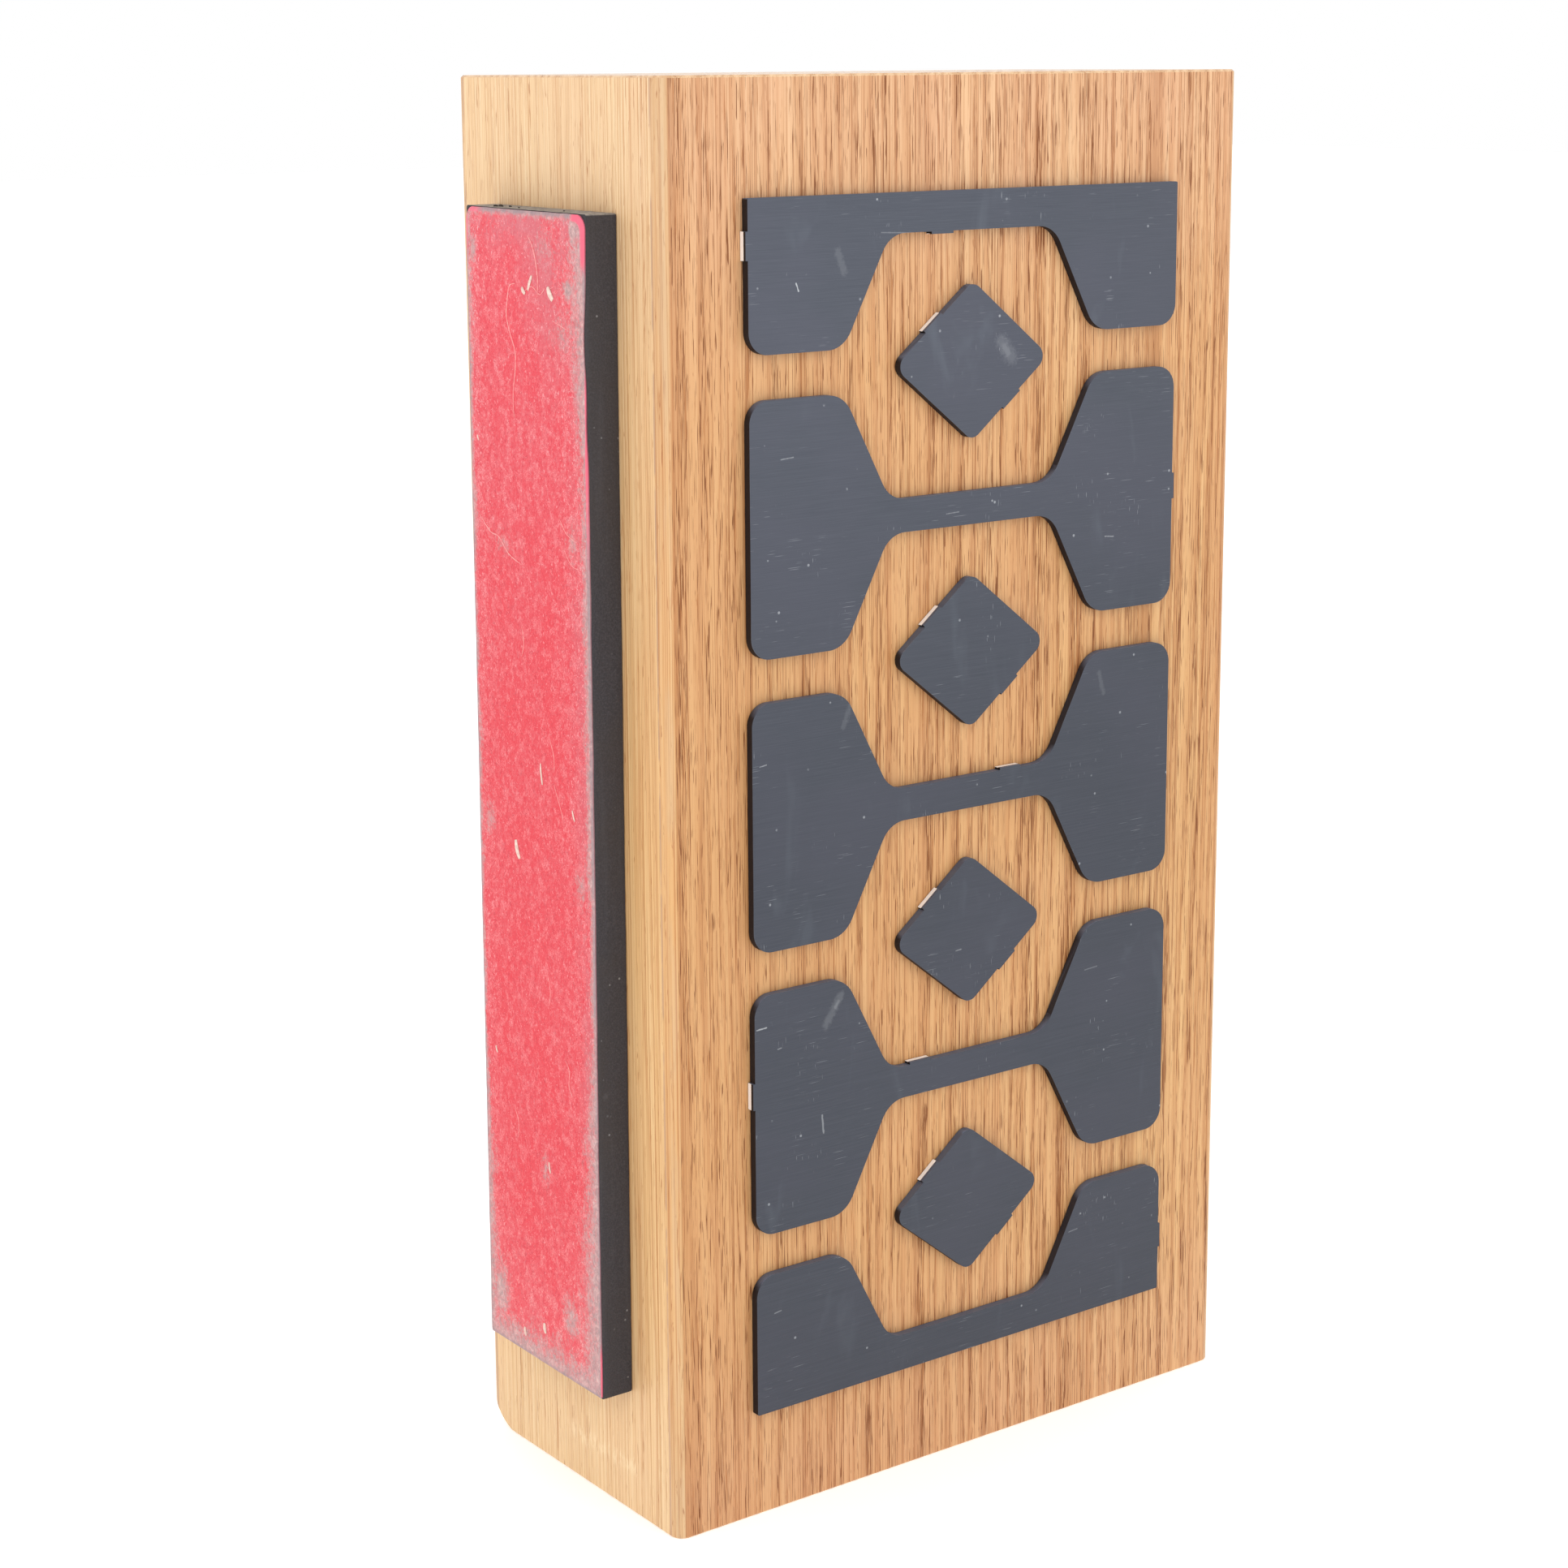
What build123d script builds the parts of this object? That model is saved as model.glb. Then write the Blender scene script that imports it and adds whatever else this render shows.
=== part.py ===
from build123d import *
import math
import os

# Heavy oak block door stop: a plain rectangular block that stands on its end,
# with a foam grip strip on one narrow side and applied aluminium plates on the
# front. Millimetres, +Z up, origin at the centre of the bottom end of the block.
# The front faces -Y and the grip strip faces -X.

os.makedirs("parts", exist_ok=True)

# ---------------------------------------------------------------- dimensions
block_w = 129.5          # X, wide face
block_d = 63.5           # Y, narrow face
block_h = 254.0          # Z, length of the block along the grain
edge_r = 2.5             # eased long edges
end_r = 0.5              # eased end edges
bottom_back_r = 9.5      # rounded-over bottom edge at the back

pad_w = 38.1             # Y, width of the strip stock
pad_len = 208.3          # Z
pad_z0 = 23.6            # lower end of the strip
pad_y = 0.5              # strip centre, slightly towards the back
pad_lean = 0.4           # degrees out of upright, upper end towards the front
pad_glue_t = 0.2
foam_t = 5.9
facing_t = 0.5
facing_inset = 0.1       # facing is cut a hair smaller than the foam
facing_top_r = 2.4       # rounded top corners of the facing
facing_bot_r = 0.6

plate_t = 1.5            # plate stock
film_t = 0.15            # adhesive film behind a plate
film_inset = 0.8
plate_w = 96.5           # X, over the flares
plate_x = -0.2           # centre line of the plates
plate_h = 44.0           # full plate
end_h = 25.9             # top and bottom plates
plate_pitch = 51.6       # full plate to full plate
flare = 19.8             # flat length of a flare
waist = 29.8             # from the plate's side to the start of the bar
bar_h = 5.9              # bar of a full plate
end_bar_h = 6.85         # bar of an end plate
corner_r = 3.9           # outer corners
flare_r = 5.5            # flare to slant
inner_r = 5.5            # slant to bar
square_r = 0.35          # square corners of the end plates
mid_z = block_h / 2

tab_len = 4.8            # break-off tab stubs left on the plate edges
tab_out = 0.45

dia_x = 17.5             # half diagonal across
dia_z = 14.0             # half diagonal up
dia_r = 2.2              # rounded diamond corners

side_x = -block_w / 2
front_y = -block_d / 2


# ---------------------------------------------------------------- wood block
with BuildPart() as wood_block:
    with BuildSketch(Plane.XY):
        Rectangle(block_w, block_d)
    extrude(amount=block_h)
    fillet(wood_block.edges().filter_by(Axis.Z), edge_r)
    # the end edges are only just eased with sandpaper
    chamfer(wood_block.edges().group_by(Axis.Z)[-1], end_r * 0.8)
    chamfer(wood_block.edges().group_by(Axis.Z)[0], end_r * 0.6)
    # rounded-over edge along the bottom of the back
    with BuildSketch(Plane.YZ.offset(-block_w / 2 - 5)):
        with BuildLine():
            Polyline(
                (block_d / 2 - bottom_back_r, 0),
                (block_d / 2 - bottom_back_r, -5),
                (block_d / 2 + 5, -5),
                (block_d / 2 + 5, bottom_back_r),
                (block_d / 2, bottom_back_r),
            )
            RadiusArc(
                (block_d / 2, bottom_back_r),
                (block_d / 2 - bottom_back_r, 0),
                bottom_back_r,
            )
        make_face()
    extrude(amount=block_w + 10, mode=Mode.SUBTRACT)
wood_block.part.label = "wood_block"


# ---------------------------------------------------------------- grip strip
def strip_sketch(width, length, r_top, r_bot):
    # outline of a strip layer in the Y-Z plane, centred on the strip
    with BuildSketch() as s:
        Rectangle(width, length)
        corners = s.vertices()
        fillet(corners.group_by(Axis.Y)[-1], r_top)
        fillet(s.vertices().group_by(Axis.Y)[0], r_bot)
    return s.sketch


pad_cz = pad_z0 + pad_len / 2
# sketch plane on the narrow side: local x along -Y, local y along +Z, normal -X
lean = math.radians(pad_lean)
pad_plane = Plane(origin=(side_x, pad_y, pad_cz),
                  x_dir=(0, -math.cos(lean), -math.sin(lean)), z_dir=(-1, 0, 0))

with BuildPart() as pad_adhesive:
    with BuildSketch(pad_plane):
        Rectangle(pad_w - 0.6, pad_len - 0.6)
    extrude(amount=pad_glue_t)
pad_adhesive.part.label = "pad_adhesive"

with BuildPart() as foam_pad:
    with BuildSketch(pad_plane.offset(pad_glue_t)):
        Rectangle(pad_w, pad_len)
    extrude(amount=foam_t)
    fillet(foam_pad.edges().filter_by(Axis.X), 0.5)
foam_pad.part.label = "foam_pad"

with BuildPart() as pad_facing:
    with BuildSketch(pad_plane.offset(pad_glue_t + foam_t)):
        add(strip_sketch(pad_w - 2 * facing_inset, pad_len - 2 * facing_inset,
                         facing_top_r, facing_bot_r))
    extrude(amount=facing_t)
pad_facing.part.label = "pad_facing"


# ---------------------------------------------------------------- plates
# plate outlines are drawn in the X-Z plane around the plate's own centre
def full_plate(inset=0.0):
    a = plate_w / 2
    h = plate_h / 2
    b = bar_h / 2
    with BuildSketch() as s:
        with BuildLine():
            Polyline(
                (-a, -h), (-a + flare, -h), (-a + waist, -b), (a - waist, -b),
                (a - flare, -h), (a, -h), (a, h), (a - flare, h),
                (a - waist, b), (-a + waist, b), (-a + flare, h), (-a, h),
                close=True,
            )
        make_face()
        v = s.vertices()
        fillet(v.filter_by(lambda p: abs(abs(p.X) - a) < 0.01), corner_r)
        fillet(s.vertices().filter_by(
            lambda p: abs(abs(p.X) - (a - flare)) < 0.01 and abs(abs(p.Y) - h) < 0.01), flare_r)
        fillet(s.vertices().filter_by(
            lambda p: abs(abs(p.X) - (a - waist)) < 0.01 and abs(abs(p.Y) - b) < 0.01), inner_r)
        if inset > 0:
            offset(amount=-inset, mode=Mode.REPLACE)
    return s.sketch


def end_plate(inset=0.0):
    # the top plate: straight along its top, waisted below
    a = plate_w / 2
    h = end_h
    b = end_h - end_bar_h
    with BuildSketch() as s:
        with BuildLine():
            Polyline(
                (-a, 0), (-a + flare, 0), (-a + waist, b), (a - waist, b),
                (a - flare, 0), (a, 0), (a, h), (-a, h),
                close=True,
            )
        make_face()
        fillet(s.vertices().filter_by(
            lambda p: abs(abs(p.X) - a) < 0.01 and abs(p.Y) < 0.01), corner_r)
        fillet(s.vertices().filter_by(
            lambda p: abs(abs(p.X) - a) < 0.01 and abs(p.Y - h) < 0.01), square_r)
        fillet(s.vertices().filter_by(
            lambda p: abs(abs(p.X) - (a - flare)) < 0.01 and abs(p.Y) < 0.01), flare_r)
        fillet(s.vertices().filter_by(
            lambda p: abs(abs(p.X) - (a - waist)) < 0.01 and abs(p.Y - b) < 0.01), inner_r)
        if inset > 0:
            offset(amount=-inset, mode=Mode.REPLACE)
    return s.sketch


def diamond(inset=0.0):
    with BuildSketch() as s:
        with BuildLine():
            Polyline((-dia_x, 0), (0, -dia_z), (dia_x, 0), (0, dia_z), close=True)
        make_face()
        fillet(s.vertices(), dia_r)
        if inset > 0:
            offset(amount=-inset, mode=Mode.REPLACE)
    return s.sketch


def face_plane(z, lift):
    # drawing plane on the front of the block: local x along +X, local y along +Z
    return Plane(origin=(plate_x, front_y - lift, z), x_dir=(1, 0, 0), z_dir=(0, -1, 0))


a = plate_w / 2
z_mid = mid_z
z_upper = mid_z + plate_pitch
z_lower = mid_z - plate_pitch
gap = plate_pitch - plate_h
z_top0 = z_upper + plate_h / 2 + gap       # lower edge of the top plate
z_bot1 = z_lower - plate_h / 2 - gap       # upper edge of the bottom plate

with BuildPart() as plate_top:
    with BuildSketch(face_plane(z_top0, film_t)):
        add(end_plate())
        with Locations((-a, 18.1)):
            Rectangle(2 * tab_out, tab_len)
        with Locations((-6.9, end_h - end_bar_h)):
            Rectangle(tab_len, 2 * tab_out)
    extrude(amount=plate_t)
plate_top.part.label = "plate_top"

with BuildPart() as plate_upper:
    with BuildSketch(face_plane(z_upper, film_t)):
        add(full_plate())
        with Locations((a, -0.3)):
            Rectangle(2 * tab_out, tab_len)
    extrude(amount=plate_t)
plate_upper.part.label = "plate_upper"

with BuildPart() as plate_middle:
    with BuildSketch(face_plane(z_mid, film_t)):
        add(full_plate())
        with Locations((9.4, bar_h / 2)):
            Rectangle(tab_len, 2 * tab_out)
    extrude(amount=plate_t)
plate_middle.part.label = "plate_middle"

with BuildPart() as plate_lower:
    with BuildSketch(face_plane(z_lower, film_t)):
        add(full_plate())
        with Locations((-a, 4.0)):
            Rectangle(2 * tab_out, tab_len)
        with Locations((-11.4, bar_h / 2)):
            Rectangle(tab_len, 2 * tab_out)
    extrude(amount=plate_t)
plate_lower.part.label = "plate_lower"

bottom_plane = Plane(origin=(plate_x, front_y - film_t, z_bot1), x_dir=(-1, 0, 0), z_dir=(0, -1, 0))
with BuildPart() as plate_bottom:
    with BuildSketch(bottom_plane):
        add(end_plate())
        with Locations((-a, 15.0)):
            Rectangle(2 * tab_out, tab_len)
    extrude(amount=plate_t)
plate_bottom.part.label = "plate_bottom"

# the small loose diamonds sit in the middle of the four windows
window_z = {
    "top": z_top0 - gap / 2,
    "upper": z_upper - plate_h / 2 - gap / 2,
    "lower": z_lower + plate_h / 2 + gap / 2,
    "bottom": z_bot1 + gap / 2,
}
slant = math.degrees(math.atan2(dia_z, dia_x))

diamonds = {}
for name, z in window_z.items():
    with BuildPart() as d:
        with BuildSketch(face_plane(z, film_t)):
            add(diamond())
            # two tab stubs on opposite slanted edges
            with Locations((-dia_x / 2, dia_z / 2)):
                Rectangle(tab_len, 2 * tab_out, rotation=slant)
            with Locations((dia_x / 2, -dia_z / 2)):
                Rectangle(tab_len, 2 * tab_out, rotation=slant)
        extrude(amount=plate_t)
    d.part.label = "diamond_" + name
    diamonds["diamond_" + name] = d.part

# ---------------------------------------------------------------- adhesive films
films = {}
for name, z, outline in (
    ("film_plate_upper", z_upper, full_plate),
    ("film_plate_middle", z_mid, full_plate),
    ("film_plate_lower", z_lower, full_plate),
    ("film_plate_top", z_top0, end_plate),
):
    with BuildPart() as f:
        with BuildSketch(face_plane(z, 0)):
            add(outline(film_inset))
        extrude(amount=film_t)
    f.part.label = name
    films[name] = f.part

with BuildPart() as f:
    with BuildSketch(Plane(origin=(plate_x, front_y, z_bot1), x_dir=(-1, 0, 0), z_dir=(0, -1, 0))):
        add(end_plate(film_inset))
    extrude(amount=film_t)
f.part.label = "film_plate_bottom"
films["film_plate_bottom"] = f.part

for name, z in window_z.items():
    with BuildPart() as f:
        with BuildSketch(face_plane(z, 0)):
            add(diamond(film_inset))
        extrude(amount=film_t)
    f.part.label = "film_diamond_" + name
    films["film_diamond_" + name] = f.part

# ---------------------------------------------------------------- export
export_step(wood_block.part, "parts/wood_block.step")
export_step(pad_adhesive.part, "parts/pad_adhesive.step")
export_step(foam_pad.part, "parts/foam_pad.step")
export_step(pad_facing.part, "parts/pad_facing.step")
export_step(plate_top.part, "parts/plate_top.step")
export_step(plate_upper.part, "parts/plate_upper.step")
export_step(plate_middle.part, "parts/plate_middle.step")
export_step(plate_lower.part, "parts/plate_lower.step")
export_step(plate_bottom.part, "parts/plate_bottom.step")
for name, p in diamonds.items():
    export_step(p, "parts/" + name + ".step")
for name, p in films.items():
    export_step(p, "parts/" + name + ".step")

print("windows", window_z)
print("plates from", z_bot1 - end_h, "to", z_top0 + end_h)
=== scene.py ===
import math

import bmesh
import bpy
from mathutils import Matrix, Vector, noise


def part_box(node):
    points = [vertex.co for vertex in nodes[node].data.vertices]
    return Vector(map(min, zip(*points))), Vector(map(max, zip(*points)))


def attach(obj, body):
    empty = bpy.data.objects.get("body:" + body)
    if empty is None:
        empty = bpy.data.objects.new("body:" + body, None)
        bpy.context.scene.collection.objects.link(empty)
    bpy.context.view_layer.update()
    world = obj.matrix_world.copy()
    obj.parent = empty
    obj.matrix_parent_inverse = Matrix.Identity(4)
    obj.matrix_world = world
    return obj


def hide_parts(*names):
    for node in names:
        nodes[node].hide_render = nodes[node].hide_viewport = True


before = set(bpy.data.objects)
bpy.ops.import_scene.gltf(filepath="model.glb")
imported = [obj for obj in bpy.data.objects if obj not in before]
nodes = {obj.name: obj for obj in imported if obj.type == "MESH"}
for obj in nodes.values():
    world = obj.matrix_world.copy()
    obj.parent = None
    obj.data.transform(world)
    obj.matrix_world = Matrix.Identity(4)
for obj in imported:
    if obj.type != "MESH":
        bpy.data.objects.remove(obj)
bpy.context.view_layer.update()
MM = 0.001


# ---------------------------------------------------------------- node helper
class Shader:
    """A small helper that builds a procedural material from nodes."""

    def __init__(self, name, rough=0.5, metal=0.0, spec=0.5):
        self.mat = bpy.data.materials.new(name)
        self.mat.use_nodes = True
        self.t = self.mat.node_tree
        self.t.nodes.clear()
        self.out = self.t.nodes.new("ShaderNodeOutputMaterial")
        self.bsdf = self.t.nodes.new("ShaderNodeBsdfPrincipled")
        self.t.links.new(self.bsdf.outputs["BSDF"], self.out.inputs["Surface"])
        self.bsdf.inputs["Roughness"].default_value = rough
        self.bsdf.inputs["Metallic"].default_value = metal
        self.bsdf.inputs["Specular IOR Level"].default_value = spec
        co = self.t.nodes.new("ShaderNodeTexCoord")
        self.normal = co.outputs["Normal"]
        # object coordinates in millimetres, in the part's own frame
        s = self.t.nodes.new("ShaderNodeVectorMath")
        s.operation = "SCALE"
        s.inputs["Scale"].default_value = 1000.0
        self.t.links.new(co.outputs["Object"], s.inputs[0])
        self.p = s.outputs[0]
        sep = self.t.nodes.new("ShaderNodeSeparateXYZ")
        self.t.links.new(self.p, sep.inputs[0])
        self.x, self.y, self.z = sep.outputs
        sn = self.t.nodes.new("ShaderNodeSeparateXYZ")
        self.t.links.new(self.normal, sn.inputs[0])
        self.nx, self.ny, self.nz = sn.outputs

    def set(self, sock, v):
        if isinstance(v, bpy.types.NodeSocket):
            self.t.links.new(v, sock)
        elif isinstance(v, (tuple, list)) and len(v) == 3 and sock.type == "RGBA":
            sock.default_value = (*v, 1.0)
        else:
            sock.default_value = v

    def m(self, op, a, b=0.0, c=0.0, clamp=False):
        n = self.t.nodes.new("ShaderNodeMath")
        n.operation = op
        n.use_clamp = clamp
        self.set(n.inputs[0], a)
        self.set(n.inputs[1], b)
        self.set(n.inputs[2], c)
        return n.outputs[0]

    def add(self, a, b): return self.m("ADD", a, b)
    def sub(self, a, b): return self.m("SUBTRACT", a, b)
    def mul(self, a, b, clamp=False): return self.m("MULTIPLY", a, b, clamp=clamp)
    def div(self, a, b): return self.m("DIVIDE", a, b)
    def mx(self, a, b): return self.m("MAXIMUM", a, b)
    def mn(self, a, b): return self.m("MINIMUM", a, b)
    def abs(self, a): return self.m("ABSOLUTE", a)
    def inv(self, a): return self.m("SUBTRACT", 1.0, a)

    def ramp(self, v, lo, hi, to0=0.0, to1=1.0, smooth=True):
        n = self.t.nodes.new("ShaderNodeMapRange")
        n.interpolation_type = "SMOOTHSTEP" if smooth else "LINEAR"
        n.clamp = True
        self.set(n.inputs["Value"], v)
        self.set(n.inputs["From Min"], lo)
        self.set(n.inputs["From Max"], hi)
        self.set(n.inputs["To Min"], to0)
        self.set(n.inputs["To Max"], to1)
        return n.outputs["Result"]

    def vec(self, x, y, z):
        n = self.t.nodes.new("ShaderNodeCombineXYZ")
        for s, v in zip(n.inputs, (x, y, z)):
            self.set(s, v)
        return n.outputs[0]

    def scaled(self, sx, sy, sz, off=(0, 0, 0), p=None):
        n = self.t.nodes.new("ShaderNodeVectorMath")
        n.operation = "MULTIPLY_ADD"
        self.set(n.inputs[0], p or self.p)
        n.inputs[1].default_value = (sx, sy, sz)
        n.inputs[2].default_value = off
        return n.outputs[0]

    def noise(self, vec, scale=1.0, detail=2.0, rough=0.5, distortion=0.0, lac=2.0, color=False):
        n = self.t.nodes.new("ShaderNodeTexNoise")
        n.noise_dimensions = "3D"
        self.set(n.inputs["Vector"], vec)
        n.inputs["Scale"].default_value = scale
        n.inputs["Detail"].default_value = detail
        n.inputs["Roughness"].default_value = rough
        n.inputs["Lacunarity"].default_value = lac
        n.inputs["Distortion"].default_value = distortion
        return n.outputs["Color" if color else "Fac"]

    def noise1(self, w, scale=1.0, detail=2.0, rough=0.5):
        n = self.t.nodes.new("ShaderNodeTexNoise")
        n.noise_dimensions = "1D"
        self.set(n.inputs["W"], w)
        n.inputs["Scale"].default_value = scale
        n.inputs["Detail"].default_value = detail
        n.inputs["Roughness"].default_value = rough
        return n.outputs["Fac"]

    def voronoi(self, vec, scale=1.0, feature="F1", rand=1.0, out="Distance"):
        n = self.t.nodes.new("ShaderNodeTexVoronoi")
        n.voronoi_dimensions = "3D"
        n.feature = feature
        self.set(n.inputs["Vector"], vec)
        n.inputs["Scale"].default_value = scale
        n.inputs["Randomness"].default_value = rand
        return n.outputs[out]

    def mix(self, fac, a, b, mode="MIX"):
        n = self.t.nodes.new("ShaderNodeMix")
        n.data_type = "RGBA"
        n.blend_type = mode
        n.clamp_factor = True
        self.set(n.inputs["Factor"], fac)
        self.set(n.inputs[6], a)
        self.set(n.inputs[7], b)
        return n.outputs[2]

    def mixf(self, fac, a, b):
        n = self.t.nodes.new("ShaderNodeMix")
        n.data_type = "FLOAT"
        n.clamp_factor = True
        self.set(n.inputs["Factor"], fac)
        self.set(n.inputs[2], a)
        self.set(n.inputs[3], b)
        return n.outputs[0]

    def colors(self, fac, stops):
        n = self.t.nodes.new("ShaderNodeValToRGB")
        cr = n.color_ramp
        while len(cr.elements) > 1:
            cr.elements.remove(cr.elements[-1])
        cr.elements[0].position = stops[0][0]
        cr.elements[0].color = (*stops[0][1], 1)
        for pos, col in stops[1:]:
            e = cr.elements.new(pos)
            e.color = (*col, 1)
        self.set(n.inputs["Fac"], fac)
        return n.outputs["Color"]

    def color(self, v):
        self.set(self.bsdf.inputs["Base Color"], v)

    def rough(self, v):
        self.set(self.bsdf.inputs["Roughness"], v)

    def bump(self, height, distance, strength=1.0):
        """height is in units of distance, which is in metres."""
        n = self.t.nodes.new("ShaderNodeBump")
        n.inputs["Strength"].default_value = strength
        n.inputs["Distance"].default_value = distance
        self.set(n.inputs["Height"], height)
        prev = self.bsdf.inputs["Normal"]
        if prev.is_linked:
            self.t.links.new(prev.links[0].from_socket, n.inputs["Normal"])
        self.t.links.new(n.outputs["Normal"], self.bsdf.inputs["Normal"])


def srgb(r, g, b):
    def f(c):
        c /= 255.0
        return c / 12.92 if c <= 0.04045 else ((c + 0.055) / 1.055) ** 2.4
    return (f(r), f(g), f(b))


# ---------------------------------------------------------------- oak
blk_lo, blk_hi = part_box("wood_block")
C_FRONT = [(218, 166, 118), (229, 180, 131), (239, 196, 148), (212, 156, 108), (245, 206, 160),
           (224, 168, 124), (244, 202, 150)]
C_SIDE = [(232, 190, 138), (243, 206, 158), (249, 217, 172), (253, 228, 188), (242, 202, 160)]
# tone of the wood by height (mm), as plain multipliers: partly the wood's own colour, partly painted light and
# shade, lighter towards the top
TONE_AND_SHADE = [(8, (0.84, 0.77, 0.70)), (40, (0.84, 0.775, 0.63)), (127, (0.825, 0.755, 0.60)), (205, (0.87, 0.81, 0.70)),
        (245, (0.93, 0.91, 0.95))]
TONE_AND_SHADE_S = [(6, (0.88, 0.86, 0.82)), (42, (0.90, 0.81, 0.67)), (127, (0.90, 0.78, 0.61)), (205, (0.90, 0.83, 0.74)),
          (240, (0.91, 0.89, 0.88))]


def oak_material():
    s = Shader("oak", rough=0.5, spec=0.35)
    # slow wander of the grain along the length of the block
    wob = s.noise(s.scaled(0.022, 0.022, 0.0065), detail=2, rough=0.45)
    wob = s.mul(s.sub(wob, 0.5), 9.0)
    fine_wob = s.noise(s.scaled(0.16, 0.16, 0.030, (5, 1, 3)), detail=2)
    fine_wob = s.mul(s.sub(fine_wob, 0.5), 1.3)
    # growth rings round a pith far behind the left edge
    dx = s.add(s.x, 300.0)
    dy = s.sub(s.y, 260.0)
    r = s.m("SQRT", s.add(s.mul(dx, dx), s.mul(dy, dy)))
    r = s.add(s.add(r, wob), fine_wob)
    width = s.mul(s.sub(s.noise1(r, 0.11, 2, 0.5), 0.5), 9.0)
    ring = s.div(s.add(r, width), 2.25)
    ph = s.m("FRACT", ring)
    ring_id = s.m("FLOOR", ring)
    ring_tone = s.noise1(ring_id, 1.37, 1, 0.5)
    busy = s.ramp(s.noise1(ring_id, 2.31, 1, 0.5), 0.35, 0.62, 0.35, 1.0)

    # the early part of a ring carries the open pores
    early = s.mul(s.ramp(ph, 0.0, 0.08), s.ramp(ph, 0.55, 0.20))
    # a thin dark thread where one ring ends and the next begins
    seam = s.mx(s.ramp(ph, 0.10, 0.0), s.ramp(ph, 0.93, 1.0))

    # long pale and dark fibres
    fib = s.noise(s.scaled(4.2, 4.2, 0.016), detail=3, rough=0.6)
    fib2 = s.noise(s.scaled(1.5, 1.5, 0.009, (11, 3, 7)), detail=3, rough=0.5)
    band = s.noise(s.scaled(0.085, 0.085, 0.0032, (2, 9, 4)), detail=3, rough=0.5)
    mott = s.noise(s.scaled(0.06, 0.06, 0.035, (7, 5, 1)), detail=3, rough=0.6)

    # pores: short dark ticks drawn out along the grain
    t1 = s.noise(s.scaled(5.6, 5.6, 0.13, (3, 3, 3)), detail=1.5, rough=0.5, distortion=0.45)
    t2 = s.noise(s.scaled(4.2, 4.2, 0.075, (13, 8, 1)), detail=1.6, rough=0.5, distortion=0.5)
    t3 = s.noise(s.scaled(5.2, 5.2, 0.30, (4, 17, 9)), detail=1.0, rough=0.5, distortion=0.4)
    t4 = s.noise(s.scaled(4.4, 4.4, 0.011, (8, 2, 6)), detail=1.5, rough=0.5, distortion=0.3)
    clump = s.ramp(s.noise(s.scaled(0.25, 0.25, 0.028, (1, 6, 2)), detail=2), 0.38, 0.60)
    dens = s.mul(s.mul(early, busy), s.mixf(clump, 0.25, 1.0))
    # where pores are dense the threshold is lower, so ticks grow and join
    th1 = s.mixf(dens, 0.625, 0.512)
    m1 = s.ramp(t1, th1, s.add(th1, 0.045))
    th2 = s.mixf(dens, 0.655, 0.540)
    m2 = s.ramp(t2, th2, s.add(th2, 0.05))
    m3 = s.ramp(t3, s.mixf(dens, 0.66, 0.58), s.mixf(dens, 0.72, 0.65))
    line = s.ramp(t4, 0.575, 0.635)
    thread = s.mul(seam, s.ramp(s.noise(s.scaled(0.3, 0.3, 0.02, (6, 1, 8)), detail=2), 0.40, 0.58))

    # front and back: warm orange tan
    streak = s.add(s.mul(fib, 0.55), s.mul(fib2, 0.45))
    base = s.colors(ph, [
        (0.0, srgb(*C_FRONT[0])),
        (0.30, srgb(*C_FRONT[1])),
        (0.62, srgb(*C_FRONT[2])),
        (0.88, srgb(*C_FRONT[1])),
        (1.0, srgb(*C_FRONT[0])),
    ])
    base = s.mix(s.ramp(streak, 0.50, 0.36, 0.0, 0.62), base, srgb(*C_FRONT[3]))
    base = s.mix(s.ramp(streak, 0.50, 0.64, 0.0, 0.65), base, srgb(*C_FRONT[4]))
    base = s.mix(s.ramp(band, 0.42, 0.66, 0.0, 0.30), base, srgb(*C_FRONT[5]))
    base = s.mix(s.ramp(band, 0.48, 0.30, 0.0, 0.35), base, srgb(*C_FRONT[6]))
    base = s.mix(s.ramp(mott, 0.40, 0.72, 0.0, 0.25), base, srgb(236, 188, 150))
    base = s.mix(s.mul(s.ramp(ring_tone, 0.3, 0.7), 0.22), base, srgb(212, 154, 108))
    base = s.mix(s.mul(line, 0.62), base, srgb(172, 112, 66))
    base = s.mix(s.mul(thread, 0.40), base, srgb(186, 128, 84))
    base = s.mix(s.mul(m2, 0.66), base, srgb(178, 114, 64))
    base = s.mix(s.mul(m3, 0.52), base, srgb(170, 108, 62))
    base = s.mix(s.mul(m1, 0.92), base, srgb(134, 78, 38))

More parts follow.
